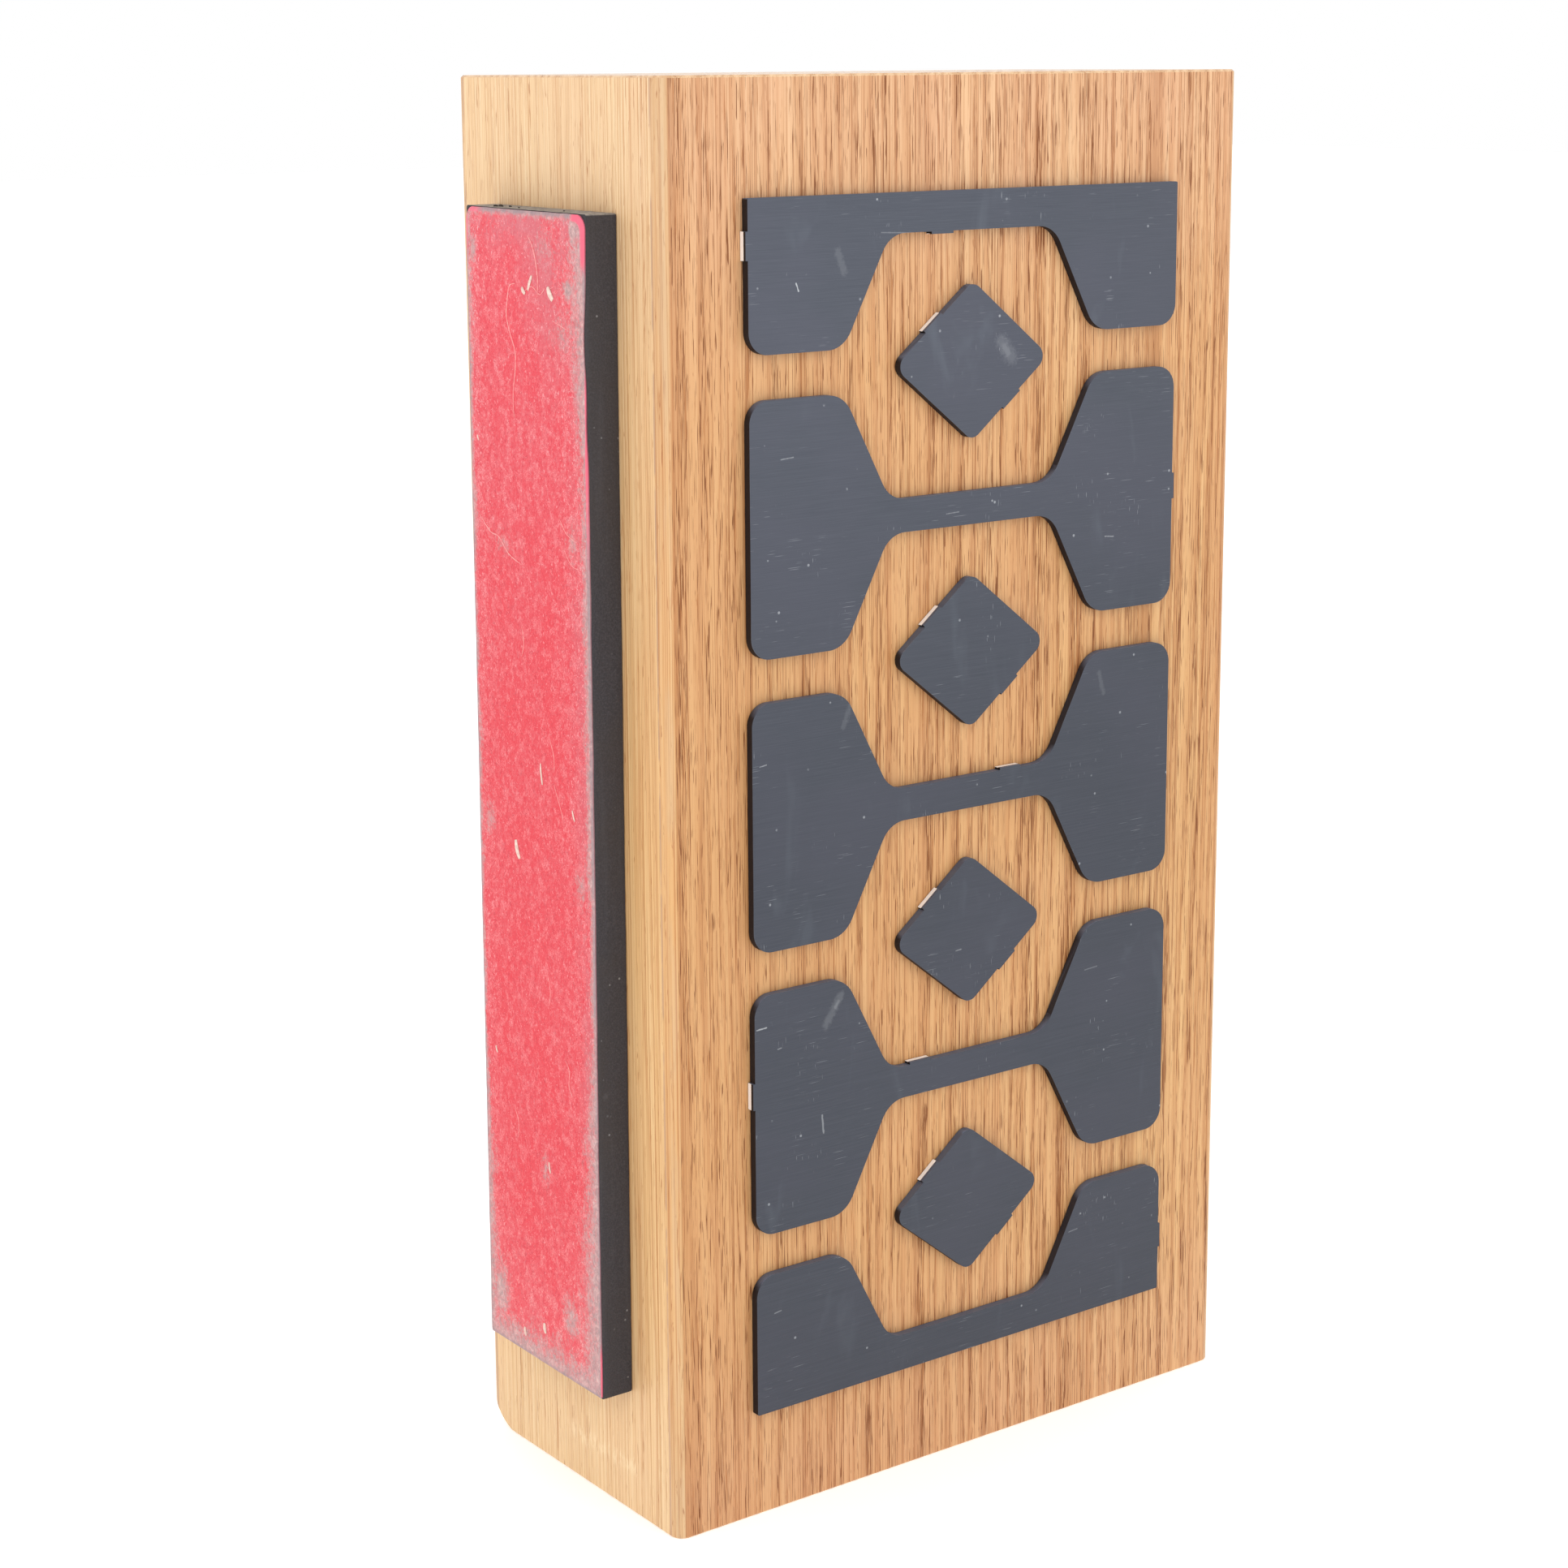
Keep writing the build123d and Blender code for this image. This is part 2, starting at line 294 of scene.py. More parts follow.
    # the narrow faces are paler and yellower, with finer marks
    sidecol = s.colors(streak, [
        (0.32, srgb(*C_SIDE[0])),
        (0.45, srgb(*C_SIDE[1])),
        (0.55, srgb(*C_SIDE[2])),
        (0.68, srgb(*C_SIDE[3])),
    ])
    sidecol = s.mix(s.ramp(band, 0.45, 0.68, 0.0, 0.35), sidecol, srgb(*C_SIDE[4]))
    s1 = s.noise(s.scaled(3.0, 3.0, 0.16, (21, 4, 13)), detail=2.0, rough=0.6, distortion=0.8)
    s2 = s.noise(s.scaled(1.6, 1.6, 0.09, (5, 31, 3)), detail=2.0, rough=0.55, distortion=0.3)
    k1 = s.ramp(s1, s.mixf(dens, 0.63, 0.55), s.mixf(dens, 0.70, 0.62))
    k2 = s.ramp(s2, s.mixf(dens, 0.64, 0.56), s.mixf(dens, 0.72, 0.64))
    sidecol = s.mix(s.mul(line, 0.60), sidecol, srgb(208, 150, 100))
    sidecol = s.mix(s.mul(thread, 0.50), sidecol, srgb(210, 152, 104))
    sidecol = s.mix(s.mul(k2, 0.60), sidecol, srgb(218, 164, 116))
    sidecol = s.mix(s.mul(k1, 0.80), sidecol, srgb(196, 138, 94))
    t5 = s.noise(s.scaled(2.3, 2.3, 0.008, (17, 3, 5)), detail=3, rough=0.62, distortion=0.25)
    near = s.ramp(s.y, -8.0, -22.0, 0.35, 1.0)
    sidecol = s.mix(s.mul(s.ramp(t5, 0.53, 0.63), s.mul(near, 0.62)), sidecol, srgb(198, 136, 82))
    sidecol = s.mix(s.mul(s.ramp(t5, 0.44, 0.34), 0.45), sidecol, srgb(252, 224, 180))

    # anything that isn't square to the front or back takes the pale tone
    nyy = s.add(s.abs(s.ny), s.mul(s.sub(s.noise1(s.z, 0.05, 2, 0.5), 0.5), 0.02))
    side = s.ramp(nyy, 0.990, 0.90)
    up = s.div(s.z, 254.0)
    # multiply by height: the wood's own tone together with painted light and shade
    base = s.mix(1.0, base, s.colors(up, [(z / 254.0, c) for z, c in TONE_AND_SHADE]), "MULTIPLY")
    sidecol = s.mix(1.0, sidecol, s.colors(up, [(z / 254.0, c) for z, c in TONE_AND_SHADE_S]), "MULTIPLY")
    base = s.mix(side, base, sidecol)

    # long rounded edges: yellower, with a painted greyish highlight streak and a thin line beside the narrow face
    ex = s.sub(abs(blk_lo.x) * 1000, s.abs(s.x))
    ey = s.sub(abs(blk_lo.y) * 1000, s.abs(s.y))
    rnd = s.mul(s.ramp(ex, 2.6, 2.2), s.ramp(ey, 2.6, 2.2))
    # painted highlight: a greyish streak along the rounded edge, broken up by noise
    edge_sheen = s.mul(s.ramp(s.abs(s.sub(ex, 0.95)), 0.85, 0.25), s.ramp(ey, 1.9, 1.2))
    edge_sheen = s.mul(edge_sheen, s.ramp(s.noise(s.scaled(0.5, 0.5, 0.035, (3, 3, 9)), detail=3, rough=0.6), 0.40, 0.60))
    base = s.mix(s.mul(rnd, 1.0), base, s.mix(1.0, base, (0.86, 0.79, 0.74), "MULTIPLY"))
    base = s.mix(s.mul(edge_sheen, 0.30), base, srgb(206, 180, 148))
    hair = s.mul(s.ramp(s.abs(s.sub(ey, 2.45)), 0.32, 0.12), s.ramp(ex, 0.8, 0.3))
    hair = s.mul(hair, s.ramp(s.noise1(s.z, 0.06, 3, 0.6), 0.36, 0.50))
    base = s.mix(s.mul(hair, 0.60), base, srgb(178, 138, 116))

    # end grain: darker, with pale rays
    top = s.ramp(s.abs(s.nz), 0.5, 0.8)
    ang = s.m("ARCTAN2", dy, dx)
    rays = s.ramp(s.noise1(ang, 520.0, 2, 0.6), 0.56, 0.66)
    endc = s.colors(ph, [
        (0.0, srgb(206, 160, 118)),
        (0.25, srgb(222, 178, 136)),
        (0.6, srgb(236, 200, 160)),
        (1.0, srgb(214, 170, 128)),
    ])
    dots = s.noise(s.scaled(3.4, 3.4, 3.4), detail=1)
    endc = s.mix(s.mul(s.mul(s.ramp(dots, 0.56, 0.66), early), 0.8), endc, srgb(140, 94, 60))
    endc = s.mix(s.mul(rays, 0.35), endc, srgb(236, 198, 156))
    base = s.mix(top, base, endc)

    # pale scuff low on the narrow side, under the grip strip
    ln = s.sub(s.z, s.add(8.7, s.mul(s.sub(s.noise1(s.y, 0.35, 3, 0.6), 0.5), 4.0)))
    sc = s.ramp(s.abs(ln), 2.6, 0.2)
    sc = s.mul(sc, s.ramp(s.y, -20.5, -18.0))
    sc = s.mul(sc, s.ramp(s.y, 6.0, 2.0))
    sc = s.mul(sc, s.ramp(s.noise(s.scaled(1.3, 1.3, 0.30), detail=3, rough=0.7), 0.42, 0.64))
    sc = s.mul(sc, s.ramp(s.nx, -0.5, -0.9))
    base = s.mix(s.mul(sc, 0.5), base, srgb(250, 226, 184))
    s.color(base)

    rough = s.mixf(s.mx(m1, m2), 0.46, 0.66)
    rough = s.add(rough, s.mul(s.sub(fib, 0.5), 0.20))
    rough = s.mixf(top, rough, 0.22)
    s.rough(rough)
    h = s.sub(s.mul(fib, 0.35), s.add(s.mul(m1, 0.9), s.mul(m2, 0.6)))
    s.bump(h, 0.00009, 0.45)
    return s.mat


# ---------------------------------------------------------------- brushed plates
# larger scratches and smears: (x0, z0, x1, z1, half width, strength), all mm
NAMED_MARKS = {
    "plate_top": [(-38.6, 219.8, -38.1, 218.5, 0.18, 0.80), (-29.8, 224.6, -28.6, 221.4, 1.10, 0.08),
                  (-20.5, 227.5, -14.0, 227.2, 0.15, 0.20)],
    "plate_upper": [(-42.0, 190.5, -39.4, 190.7, 0.14, 0.35), (31.5, 170.4, 33.6, 170.2, 0.16, 0.45),
                    (-6.0, 178.0, -3.2, 178.1, 0.14, 0.30)],
    "plate_middle": [(-26.8, 148.0, -28.9, 142.8, 0.80, 0.08), (-46.9, 138.2, -45.5, 138.4, 0.15, 0.50),
                     (30.5, 145.1, 31.6, 141.2, 0.70, 0.09)],
    "plate_lower": [(-29.7, 94.4, -33.0, 89.6, 1.10, 0.13), (-30.2, 93.4, -30.9, 92.4, 0.45, 0.18),
                    (-48.0, 91.5, -45.9, 91.6, 0.17, 0.75), (-33.9, 73.0, -33.6, 69.7, 0.26, 0.45),
                    (-43.5, 87.2, -42.7, 87.3, 0.15, 0.45), (28.0, 88.4, 31.0, 88.6, 0.16, 0.25)],
    "plate_bottom": [(-44.6, 38.4, -43.2, 38.6, 0.15, 0.40), (24.8, 37.0, 26.9, 37.2, 0.15, 0.30)],
    "diamond_top": [(6.4, 207.4, 8.6, 204.6, 2.00, 0.10), (7.0, 206.6, 7.9, 205.4, 0.90, 0.10)],
    "diamond_lower": [(-3.4, 97.8, -2.2, 97.9, 0.16, 0.40)],
}


def plate_material(name, seed, bare=(), named=()):
    """bare is a list of (centre, half sizes, angle in degrees about Y): bare metal in these boxes, shown
    near-white and matte as a painted reflection.
    """
    s = Shader(name, rough=0.42, metal=0.78, spec=0.5)
    off = (seed * 13.7, seed * 3.1, seed * 7.9)
    brush = s.noise(s.scaled(0.055, 0.3, 5.5, off), detail=4, rough=0.7)
    brush2 = s.noise(s.scaled(0.16, 0.3, 14.0, off), detail=2, rough=0.6)
    cloud = s.noise(s.scaled(0.035, 0.05, 0.05, off), detail=3, rough=0.55)
    smear = s.noise(s.scaled(0.10, 0.05, 0.035, (off[2], off[0], off[1])), detail=3, rough=0.6, distortion=0.6)

    col = s.colors(s.add(s.mul(brush, 0.6), s.mul(brush2, 0.4)), [
        (0.30, srgb(82, 86, 96)),
        (0.50, srgb(89, 93, 103)),
        (0.70, srgb(98, 102, 112)),
    ])
    col = s.mix(s.ramp(cloud, 0.35, 0.70, 0.0, 0.35), col, srgb(98, 99, 112))
    col = s.mix(s.ramp(smear, 0.58, 0.75, 0.0, 0.30), col, srgb(116, 124, 134))

    # light scratches along the brushing, and a few across it
    sc = s.noise(s.scaled(0.20, 0.3, 6.5, (off[1], 4, off[0])), detail=1.0, rough=0.4)
    gate = s.ramp(s.noise(s.scaled(0.09, 0.1, 0.12, (off[0], 2, off[1])), detail=1), 0.50, 0.66)
    sc = s.mul(s.ramp(sc, 0.685, 0.74), gate)
    cross = s.noise(s.scaled(4.5, 0.3, 0.50, (off[2], 9, off[1])), detail=0.5)
    gate2 = s.ramp(s.noise(s.scaled(0.11, 0.1, 0.10, (off[1], 5, off[2])), detail=1), 0.60, 0.70)
    cross = s.mul(s.ramp(cross, 0.70, 0.76), gate2)
    # dust: small pale specks
    spk = s.voronoi(s.scaled(0.32, 0.3, 0.32, off), rand=1.0)
    dust = s.ramp(spk, 0.10, 0.055)
    dgate = s.ramp(s.noise(s.scaled(0.16, 0.1, 0.16, (off[2], 1, off[0])), detail=1), 0.52, 0.60)
    dust = s.mul(dust, dgate)
    marks = s.mx(s.mx(s.mul(sc, 0.45), s.mul(cross, 0.6)), s.mul(dust, 0.7))
    col = s.mix(marks, col, srgb(186, 190, 196))
    blur = s.noise(s.scaled(1.4, 0.3, 1.4, off), detail=3, rough=0.7)
    for x0, z0, x1, z1, w, k in named:
        dx, dz = x1 - x0, z1 - z0
        px, pz = s.sub(s.x, x0), s.sub(s.z, z0)
        t = s.div(s.add(s.mul(px, dx), s.mul(pz, dz)), dx * dx + dz * dz)
        t = s.mx(s.mn(t, 1.0), 0.0)
        ex, ez = s.sub(px, s.mul(t, dx)), s.sub(pz, s.mul(t, dz))
        d = s.m("SQRT", s.add(s.mul(ex, ex), s.mul(ez, ez)))
        d = s.add(d, s.mul(s.sub(blur, 0.5), w * 1.6))
        col = s.mix(s.mul(s.ramp(d, w, w * 0.25), k), col, srgb(206, 210, 214))
    # painted shade: the plates darken towards the bottom and slightly towards the right, as the light falls from
    # above and the left
    painted_light_falloff = s.mul(s.mixf(s.ramp(s.z, 110.0, 232.0), 0.68, 0.97), s.mixf(s.ramp(s.x, -40.0, 45.0), 1.0, 0.94))
    col = s.mix(s.sub(1.0, painted_light_falloff), col, (0.0, 0.0, 0.0))

    # cut edges: painted shade makes them dark, top-facing ones get a painted lit tone, with a painted highlight
    # hairline where they meet the face
    edge = s.ramp(s.abs(s.ny), 0.80, 0.45)
    lit = s.mul(edge, s.ramp(s.nz, 0.35, 0.92))
    hair = s.mul(s.ramp(s.abs(s.ny), 0.97, 0.86), s.ramp(s.abs(s.ny), 0.55, 0.80))
    hairn = s.ramp(s.noise(s.scaled(0.11, 0.1, 0.11, (off[1], 3, off[2])), detail=2), 0.50, 0.66)
    col = s.mix(edge, col, srgb(48, 44, 46))
    col = s.mix(lit, col, srgb(112, 124, 148))
    col = s.mix(s.mul(s.mul(hair, hairn), 0.65), col, srgb(160, 165, 172))
    metal = 0.78
    rough = s.add(0.43, s.mul(s.sub(brush, 0.5), 0.30))
    rough = s.mixf(edge, rough, 0.6)
    bare_glint_mask = None
    for (cx, cy, cz), (hx, hy, hz), angle in bare:
        n = s.t.nodes.new("ShaderNodeVectorMath")
        n.operation = "SUBTRACT"
        s.set(n.inputs[0], s.p)
        n.inputs[1].default_value = (cx, cy, cz)
        rot = s.t.nodes.new("ShaderNodeVectorRotate")
        rot.rotation_type = "Y_AXIS"
        s.set(rot.inputs["Vector"], n.outputs[0])
        rot.inputs["Angle"].default_value = math.radians(angle)
        sep = s.t.nodes.new("ShaderNodeSeparateXYZ")
        s.set(sep.inputs[0], rot.outputs[0])
        box = None
        for sock, half in zip(sep.outputs, (hx, hy, hz)):
            k = s.m("LESS_THAN", s.abs(sock), half)
            box = k if box is None else s.mul(box, k)
        bare_glint_mask = box if bare_glint_mask is None else s.mx(bare_glint_mask, box)
    # bare metal tab ends, painted near-white and matte as a painted reflection of the white studio
    if bare_glint_mask is not None:
        col = s.mix(bare_glint_mask, col, srgb(250, 247, 242))
        rough = s.mixf(bare_glint_mask, rough, 0.38)
        s.set(s.bsdf.inputs["Metallic"], s.mixf(bare_glint_mask, metal, 0.10))
    s.color(col)
    s.rough(rough)
    h = s.add(s.mul(brush, 0.7), s.mul(brush2, 0.6))
    s.bump(h, 0.00003, 0.35)
    return s.mat


# ---------------------------------------------------------------- foam and facing
def foam_material():
    s = Shader("foam", rough=0.85, spec=0.25)
    cell = s.noise(s.scaled(3.2, 3.2, 3.2), detail=3, rough=0.7)
    cell2 = s.voronoi(s.scaled(2.4, 2.4, 2.4), rand=1.0)
    cloud = s.noise(s.scaled(0.06, 0.10, 0.03), detail=3, rough=0.6)
    streak = s.noise(s.scaled(0.5, 0.9, 0.03), detail=3, rough=0.6)
    col = s.colors(cell, [
        (0.30, srgb(52, 51, 55)),
        (0.50, srgb(62, 60, 64)),
        (0.72, srgb(76, 74, 79)),
    ])
    col = s.mix(s.ramp(cloud, 0.35, 0.70, 0.0, 0.45), col, srgb(68, 62, 58))
    col = s.mix(s.ramp(streak, 0.50, 0.75, 0.0, 0.40), col, srgb(78, 76, 80))
    # pale dust specks, and smears
    spk = s.voronoi(s.scaled(0.42, 0.42, 0.42, (7, 7, 7)))
    dust = s.mul(s.ramp(spk, 0.11, 0.06), s.ramp(s.noise(s.scaled(0.2, 0.2, 0.12), detail=1), 0.52, 0.62))
    sm = s.noise(s.scaled(0.16, 0.3, 0.09, (3, 1, 8)), detail=4, rough=0.7)
    col = s.mix(s.ramp(sm, 0.62, 0.75, 0.0, 0.35), col, srgb(104, 103, 106))
    col = s.mix(s.mul(dust, 0.55), col, srgb(150, 150, 152))
    # torn, dusty skin along the upper end
    upper = s.ramp(s.nz, 0.3, 0.8)
    ruff = s.ramp(s.noise(s.scaled(0.9, 0.9, 0.9, (2, 8, 5)), detail=3, rough=0.7), 0.34, 0.60, 0.55, 1.0)
    col = s.mix(s.mul(upper, s.mul(ruff, 0.92)), col, srgb(166, 160, 152))
    s.color(col)
    s.rough(s.add(0.82, s.mul(s.sub(cell, 0.5), 0.2)))
    s.bump(s.add(cell, s.mul(cell2, 0.5)), 0.00012, 0.5)
    return s.mat


# the strip is built upright about its own centre, then leaned with the CAD pieces
LEAN = math.radians(0.4)
PAD_W, PAD_LEN, INSET = 38.1, 208.3, 0.1
face_lo, face_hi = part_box("pad_facing")
foam_lo, foam_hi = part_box("foam_pad")
FYC = (foam_lo.y + foam_hi.y) / 2 * 1000
FZC = (foam_lo.z + foam_hi.z) / 2 * 1000
FY0, FY1 = FYC - PAD_W / 2 + INSET, FYC + PAD_W / 2 - INSET
FZ0, FZ1 = FZC - PAD_LEN / 2 + INSET, FZC + PAD_LEN / 2 - INSET


def lean(obj):
    pivot = Vector((0, FYC * MM, FZC * MM))
    obj.matrix_world = Matrix.Translation(pivot) @ Matrix.Rotation(LEAN, 4, "X") @ Matrix.Translation(-pivot)


def facing_material():
    s = Shader("grip_facing", rough=0.62, spec=0.4)
    # felted, scuffed red
    f1 = s.noise(s.scaled(0.95, 0.95, 0.8), detail=5, rough=0.72, distortion=0.9)
    f2 = s.noise(s.scaled(1.9, 1.9, 1.5, (5, 5, 5)), detail=3, rough=0.65, distortion=1.2)
    cloud = s.noise(s.scaled(0.10, 0.10, 0.055, (1, 2, 3)), detail=4, rough=0.6)
    # strip coordinates: distance in from each side
    dyf = s.sub(s.y, FY0)                      # from the front edge
    dyb = s.sub(FY1, s.y)                      # from the back edge
    dzt = s.sub(FZ1, s.z)
    dzb = s.sub(s.z, FZ0)
    mid = s.mul(s.ramp(dyf, 2.0, 13.0), s.ramp(dyb, 1.0, 9.0))

    red = s.colors(f1, [
        (0.32, srgb(229, 78, 92)),
        (0.46, srgb(232, 90, 102)),
        (0.58, srgb(232, 112, 120)),
        (0.72, srgb(228, 146, 148)),
    ])
    red = s.mix(s.mul(s.ramp(cloud, 0.58, 0.36), s.mixf(mid, 0.15, 0.60)), red, srgb(234, 76, 90))
    # lint speckle: short pale curls, thinner over the middle
    h1 = s.noise(s.scaled(1.35, 1.35, 1.2, (9, 2, 4)), detail=0.8, distortion=1.8)
    hair = s.ramp(s.abs(s.sub(h1, 0.50)), 0.055, 0.018)
    h1b = s.noise(s.scaled(2.1, 2.1, 1.9, (4, 11, 7)), detail=0.6, distortion=1.2)
    hair = s.mx(hair, s.mul(s.ramp(s.abs(s.sub(h1b, 0.50)), 0.060, 0.020), 0.75))
    gate = s.noise(s.scaled(0.55, 0.55, 0.45, (4, 4, 7)), detail=3, rough=0.65)
    gate = s.ramp(s.sub(gate, s.mul(mid, 0.05)), 0.42, 0.58)
    red = s.mix(s.mul(s.mul(hair, gate), 0.80), red, srgb(246, 190, 188))
    h2 = s.noise(s.scaled(1.1, 1.1, 0.9, (3, 12, 8)), detail=4, rough=0.68, distortion=2.0)
    red = s.mix(s.mul(s.ramp(h2, 0.54, 0.66), s.mixf(mid, 0.66, 0.40)), red, srgb(226, 152, 154))
    red = s.mix(s.mul(s.ramp(f2, 0.57, 0.68), 0.42), red, srgb(238, 180, 180))
    red = s.mix(s.mul(s.ramp(f2, 0.46, 0.34), 0.60), red, srgb(204, 60, 78))
    # a greyish pink veil over the upper and front part
    veil = s.mx(s.mul(s.ramp(s.z, 196.0, 226.0), s.ramp(dyf, 30.0, 8.0)), s.mx(s.ramp(dzt, 9.0, 2.0), s.ramp(dyf, 8.0, 1.0)))
    veil = s.mul(veil, s.ramp(s.add(s.mul(cloud, 0.5), s.mul(h2, 0.6)), 0.44, 0.62))
    red = s.mix(s.mul(veil, 0.62), red, srgb(208, 140, 146))

    fl = s.noise(s.scaled(2.6, 2.6, 1.9, (13, 5, 2)), detail=1.0, rough=0.5, distortion=0.9)
    fl = s.mul(s.ramp(fl, s.mixf(mid, 0.60, 0.66), s.mixf(mid, 0.66, 0.72)), 0.70)
    red = s.mix(fl, red, srgb(248, 206, 204))
    rt = s.colors(s.div(s.z, 254.0), [(28 / 254.0, (0.95, 0.70, 0.72)), (55 / 254.0, (0.93, 0.47, 0.51)),
                                      (150 / 254.0, (0.93, 0.49, 0.54)), (200 / 254.0, (0.94, 0.60, 0.65)),
                                      (228 / 254.0, (0.96, 0.67, 0.72))])
    red = s.mix(1.0, red, rt, "MULTIPLY")

    # floor dirt: a grey rim that breaks up into specks, wider at the front and the lower end
    low = s.ramp(s.z, 104.0, 26.0)
    high = s.ramp(s.z, 176.0, 222.0)
    nz1 = s.noise(s.scaled(0.32, 0.32, 0.10, (4, 4, 4)), detail=4, rough=0.65)
    nz2 = s.noise(s.scaled(1.3, 1.3, 1.1, (8, 1, 6)), detail=4, rough=0.75, distortion=0.8)
    jit = s.mul(s.sub(nz1, 0.5), 9.0)
    wf = s.add(s.add(s.add(2.6, s.mul(low, 5.4)), s.mul(high, 3.6)), jit)
    wb = s.add(s.add(2.0, s.mul(low, 2.4)), s.mul(jit, 0.7))
    wt = s.add(1.6, s.mul(jit, 0.3))
    wl = s.add(7.5, s.mul(jit, 1.5))
    gf = s.m("SUBTRACT", 1.0, s.div(dyf, s.mx(wf, 0.6)))
    gb = s.m("SUBTRACT", 1.0, s.div(dyb, s.mx(wb, 0.5)))
    gt = s.m("SUBTRACT", 1.0, s.div(dzt, s.mx(wt, 0.5)))
    gl = s.m("SUBTRACT", 1.0, s.div(dzb, s.mx(wl, 2.0)))
    g = s.mx(s.mx(gf, gb), s.mx(gt, gl))       # 1 at the rim, 0 where the dirt ends
    # named patches: (y, z, radius y, radius z, strength)
    for py, pz, ry, rz, k in ((-13.4, 219.2, 2.6, 2.2, 0.85), (-15.2, 228.6, 1.9, 3.6, 1.0),
                              (-9.0, 35.6, 3.4, 5.0, 0.8), (15.6, 33.5, 3.6, 7.5, 0.85),
                              (-11.5, 211.5, 4.5, 3.5, 0.42), (-6.0, 226.0, 4.0, 3.5, 0.36),
                              (10.6, 26.6, 4.5, 3.0, 0.75), (17.2, 224.5, 1.3, 3.2, 0.9),
                              (-13.5, 176.5, 2.4, 4.2, 0.45), (9.0, 174.0, 5.0, 2.4, 0.30),
                              (15.6, 123.2, 2.0, 3.4, 0.62), (-14.4, 117.0, 2.4, 3.4, 0.50),
                              (-1.0, 61.5, 1.8, 3.6, 0.42)):
        ey = s.div(s.sub(s.y, py), ry)
        ez = s.div(s.sub(s.z, pz), rz)
        d = s.m("SQRT", s.add(s.mul(ey, ey), s.mul(ez, ez)))
        g = s.mx(g, s.mul(s.sub(1.15, s.add(d, s.mul(s.sub(nz1, 0.5), 1.2))), k))
    dirt = s.ramp(s.add(g, s.mul(s.sub(nz2, 0.5), 2.1)), 0.0, 0.95)
    gcol = s.colors(s.noise(s.scaled(0.9, 0.9, 0.75, (2, 6, 6)), detail=4, rough=0.74, distortion=1.2), [
        (0.32, srgb(150, 140, 140)),
        (0.46, srgb(178, 158, 156)),
        (0.58, srgb(202, 172, 170)),
        (0.70, srgb(220, 202, 196)),
    ])
    col = s.mix(s.mul(dirt, 0.84), red, gcol)
    # grey line right at the outline
    rim = s.mn(s.mn(dyf, dyb), s.mn(dzt, dzb))
    rimn = s.ramp(nz1, 0.36, 0.56)
    col = s.mix(s.mul(s.ramp(rim, 0.95, 0.25), s.mixf(rimn, 0.25, 0.62)), col, srgb(146, 134, 140))

    # stretches of the front edge stay clean and bright
    edge_z = s.add(s.z, s.mul(s.sub(nz1, 0.5), 14.0))
    c1 = s.mul(s.ramp(dyf, 1.45, 0.95), s.ramp(edge_z, 221.0, 226.5))
    c1b = s.mul(s.mul(s.ramp(dyf, 0.70, 0.45), s.ramp(edge_z, 211.0, 207.0)), s.ramp(edge_z, 168.0, 190.0))
    corner_y, corner_z = s.sub(3.1, dyf), s.sub(3.1, dzt)
    cr = s.m("SQRT", s.add(s.mul(s.mx(corner_y, 0.0), s.mx(corner_y, 0.0)),
                           s.mul(s.mx(corner_z, 0.0), s.mx(corner_z, 0.0))))
    c2 = s.mul(s.ramp(cr, 1.75, 2.15), s.mul(s.ramp(dyf, 4.6, 3.2), s.ramp(dzt, 5.4, 3.4)))
    c3 = s.mul(s.ramp(dyf, 0.50, 0.32), s.ramp(s.z, 35.0, 31.0))
    c4 = s.mul(s.mul(s.ramp(s.mn(dyb, dzt), 1.1, 0.6), s.ramp(s.z, 221.0, 228.0)), s.ramp(dyb, 6.5, 3.0))
    clean = s.mx(s.mx(s.mx(c1, c1b), c2), s.mx(c3, s.mul(c4, 0.75)))
    col = s.mix(s.mul(clean, 0.92), col, srgb(250, 104, 130))
    # cut side of the facing
    sidem = s.ramp(s.abs(s.nx), 0.75, 0.4)
    col = s.mix(s.mul(sidem, 0.6), col, srgb(140, 84, 96))
    s.color(col)
    s.rough(s.mixf(dirt, 0.58, 0.80))
    s.bump(s.add(s.add(f1, s.mul(f2, 0.6)), s.mul(hair, 0.4)), 0.00009, 0.4)
    return s.mat


def film_material():
    s = Shader("adhesive_film", rough=0.7, spec=0.3)
    n = s.noise(s.scaled(0.9, 0.9, 0.9), detail=3)
    s.color(s.colors(n, [(0.35, srgb(74, 66, 60)), (0.65, srgb(106, 94, 84))]))
    s.rough(s.add(0.65, s.mul(s.sub(n, 0.5), 0.2)))
    s.bump(n, 0.00003, 0.4)
    return s.mat


def lint_material():
    s = Shader("lint", rough=0.8, spec=0.3)
    n = s.noise(s.scaled(1.5, 1.5, 1.5), detail=2)
    s.color(s.colors(n, [(0.35, srgb(222, 188, 176)), (0.65, srgb(240, 218, 204))]))
    s.bump(n, 0.00006, 0.5)
    return s.mat


def fibre_material():
    s = Shader("fibres", rough=0.8, spec=0.2)
    n = s.noise(s.scaled(1.5, 1.5, 1.5), detail=2)
    s.color(s.colors(n, [(0.35, srgb(238, 138, 142)), (0.65, srgb(246, 176, 172))]))
    s.bump(n, 0.00004, 0.4)
    return s.mat


def crumb_material():
    s = Shader("crumbs", rough=0.8, spec=0.3)
    n = s.noise(s.scaled(1.8, 1.8, 1.8), detail=3)
    s.color(s.colors(n, [(0.35, srgb(30, 28, 28)), (0.65, srgb(74, 68, 62))]))
    s.bump(n, 0.0001, 0.6)
    return s.mat


def use(obj, mat):
    obj.data.materials.clear()
    obj.data.materials.append(mat)


